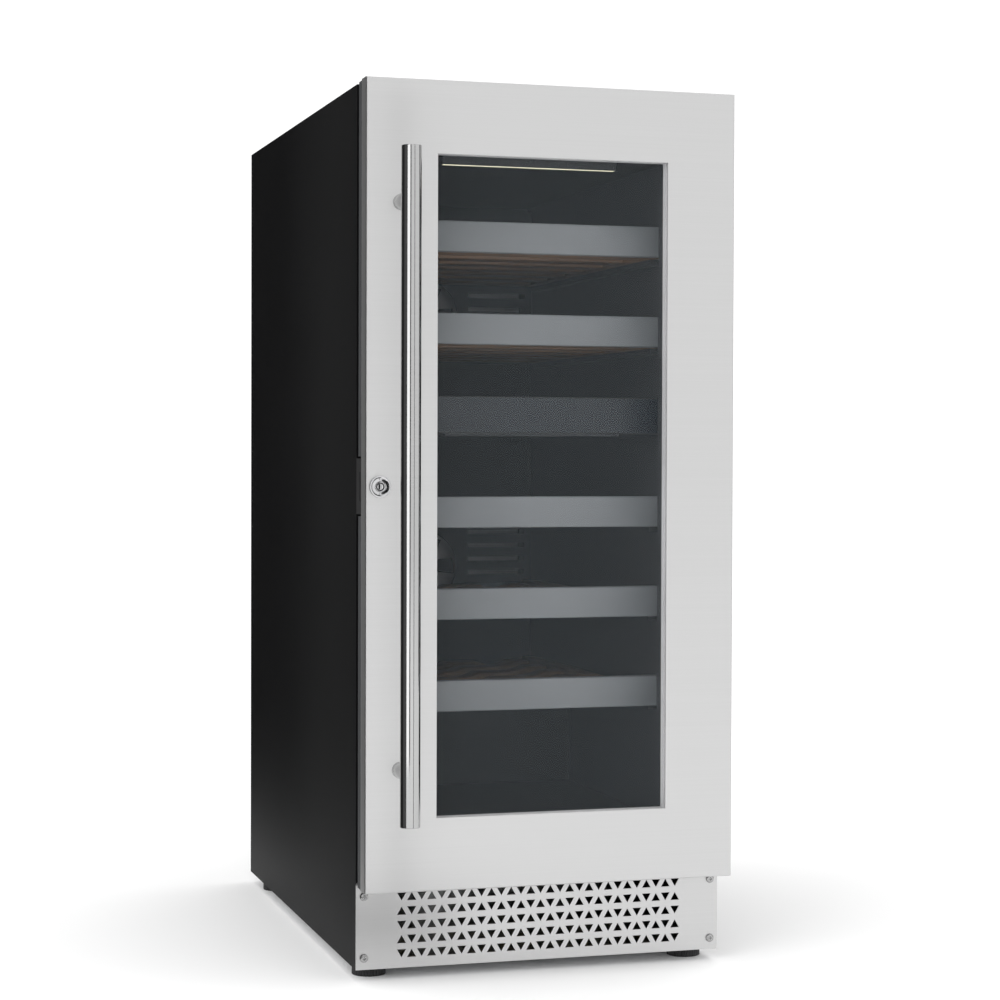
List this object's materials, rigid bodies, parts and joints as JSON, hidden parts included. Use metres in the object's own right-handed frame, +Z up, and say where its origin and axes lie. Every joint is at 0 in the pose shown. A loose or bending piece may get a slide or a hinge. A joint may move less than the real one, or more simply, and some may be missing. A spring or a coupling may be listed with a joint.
{
  "type": "wine cooler",
  "caption": "Tall narrow under-counter wine cooler with a stainless framed glass door, bar handle, key lock, sliding shelves, vented toe plate and levelling feet.",
  "frame": {"origin": "on the floor, at the middle of the bounding box's base", "axes": "+X to the right seen from the front, +Y to the rear, +Z up; the door faces -Y"},
  "size_m": [0.378, 0.6547, 0.877],
  "materials": {
    "stainless": "satin brushed stainless steel",
    "handle_steel": "brushed stainless bar",
    "screw_steel": "bright screws",
    "lock_chrome": "polished",
    "zinc_steel": "zinc plated sheet",
    "black_steel": "satin black powder coat",
    "black_plastic": "fine texture",
    "dark_plastic": "moulded, satin",
    "gasket_rubber": "soft extruded",
    "tinted_glass": "lightly tinted, clear",
    "spacer_aluminium": "matt",
    "heat_aluminium": "bare",
    "insulation_foam": "rigid foam, hidden inside",
    "shelf_trim": "matt silver",
    "beech_wood": "oiled",
    "light_diffuser": "frosted, lit"
  },
  "bodies": {
    "cabinet": {"left_side_panel": "black_steel", "right_side_panel": "black_steel", "top_panel": "black_steel", "rear_panel": "black_steel", "base_pan": "zinc_steel", "front_frame": "black_steel", "cabinet_foam": "insulation_foam", "inner_liner": "dark_plastic", "upper_hinge_bracket": "zinc_steel", "lower_hinge_bracket": "zinc_steel", "lock_strike": "black_plastic", "toe_grille": "stainless", "toe_grille_screws": "screw_steel", "shelf_ledges": "dark_plastic", "zone_divider": "black_plastic", "control_panel": "black_plastic", "light_bars": "light_diffuser", "upper_air_duct": "dark_plastic", "lower_air_duct": "dark_plastic", "circulation_fan_motors": "black_plastic", "evaporators": "heat_aluminium", "compressor": "black_steel", "compressor_mounts": "gasket_rubber", "condenser": "heat_aluminium", "condenser_fan_motor": "black_plastic", "drip_tray": "black_plastic", "control_box": "black_plastic", "cord_gland": "black_plastic"},
    "door": {"door_skin": "stainless", "door_inner_frame": "dark_plastic", "hinge_bushes": "black_plastic", "outer_glass": "tinted_glass", "inner_glass": "tinted_glass", "glass_spacer": "spacer_aluminium", "door_gasket": "gasket_rubber", "handle_bar": "handle_steel", "handle_posts": "stainless", "handle_screws": "screw_steel", "lock_housing": "lock_chrome"},
    "lock": {"lock_cylinder": "lock_chrome", "lock_cam": "zinc_steel"},
    "shelf_1": {"shelf_1_front": "shelf_trim", "shelf_1_rack": "beech_wood"},
    "shelf_2": {"shelf_2_front": "shelf_trim", "shelf_2_rack": "beech_wood"},
    "shelf_3": {"shelf_3_front": "shelf_trim", "shelf_3_rack": "beech_wood"},
    "shelf_4": {"shelf_4_front": "shelf_trim", "shelf_4_rack": "beech_wood"},
    "shelf_5": {"shelf_5_front": "shelf_trim", "shelf_5_rack": "beech_wood"},
    "upper_fan": {"upper_fan_blade": "black_plastic"},
    "lower_fan": {"lower_fan_blade": "black_plastic"},
    "condenser_fan": {"condenser_fan_blade": "black_plastic"},
    "front_left_foot": {"front_left_foot": "black_plastic"},
    "front_right_foot": {"front_right_foot": "black_plastic"},
    "rear_left_foot": {"rear_left_foot": "black_plastic"},
    "rear_right_foot": {"rear_right_foot": "black_plastic"}
  },
  "joints": [
    {"name": "door_swing", "type": "hinge", "parent": "cabinet", "child": "door", "pos_m": [0.18, -0.26763, 0.485], "axis": [0, 0, 1], "range_deg": [0, 105]},
    {"name": "lock_turn", "type": "hinge", "parent": "door", "child": "lock", "pos_m": [-0.1748, -0.27763, 0.485], "axis": [0, -1, 0], "range_deg": [0, 90]},
    {"name": "shelf_1_slide", "type": "slide", "parent": "cabinet", "child": "shelf_1", "axis": [0, -1, 0], "range_m": [0, 0.11]},
    {"name": "shelf_2_slide", "type": "slide", "parent": "cabinet", "child": "shelf_2", "axis": [0, -1, 0], "range_m": [0, 0.11]},
    {"name": "shelf_3_slide", "type": "slide", "parent": "cabinet", "child": "shelf_3", "axis": [0, -1, 0], "range_m": [0, 0.11]},
    {"name": "shelf_4_slide", "type": "slide", "parent": "cabinet", "child": "shelf_4", "axis": [0, -1, 0], "range_m": [0, 0.11]},
    {"name": "shelf_5_slide", "type": "slide", "parent": "cabinet", "child": "shelf_5", "axis": [0, -1, 0], "range_m": [0, 0.11]},
    {"name": "upper_fan_spin", "type": "hinge", "parent": "cabinet", "child": "upper_fan", "pos_m": [0, 0.23337, 0.68176], "axis": [0, -1, 0], "continuous": true},
    {"name": "lower_fan_spin", "type": "hinge", "parent": "cabinet", "child": "lower_fan", "pos_m": [0, 0.23337, 0.38376], "axis": [0, -1, 0], "continuous": true},
    {"name": "condenser_fan_spin", "type": "hinge", "parent": "cabinet", "child": "condenser_fan", "pos_m": [0.088, 0.20237, 0.0875], "axis": [0, -1, 0], "continuous": true},
    {"name": "front_left_foot_screw", "type": "slide", "parent": "cabinet", "child": "front_left_foot", "axis": [0, 0, 1], "range_m": [-0.012, 0]},
    {"name": "front_right_foot_screw", "type": "slide", "parent": "cabinet", "child": "front_right_foot", "axis": [0, 0, 1], "range_m": [-0.012, 0]},
    {"name": "rear_left_foot_screw", "type": "slide", "parent": "cabinet", "child": "rear_left_foot", "axis": [0, 0, 1], "range_m": [-0.012, 0]},
    {"name": "rear_right_foot_screw", "type": "slide", "parent": "cabinet", "child": "rear_right_foot", "axis": [0, 0, 1], "range_m": [-0.012, 0]}
  ],
  "couplings": [
    {"joint": "shelf_1_slide", "follows": "door_swing", "m_per_rad": 0.06},
    {"joint": "shelf_2_slide", "follows": "door_swing", "m_per_rad": 0.06},
    {"joint": "shelf_3_slide", "follows": "door_swing", "m_per_rad": 0.06},
    {"joint": "shelf_4_slide", "follows": "door_swing", "m_per_rad": 0.06},
    {"joint": "shelf_5_slide", "follows": "door_swing", "m_per_rad": 0.06}
  ]
}
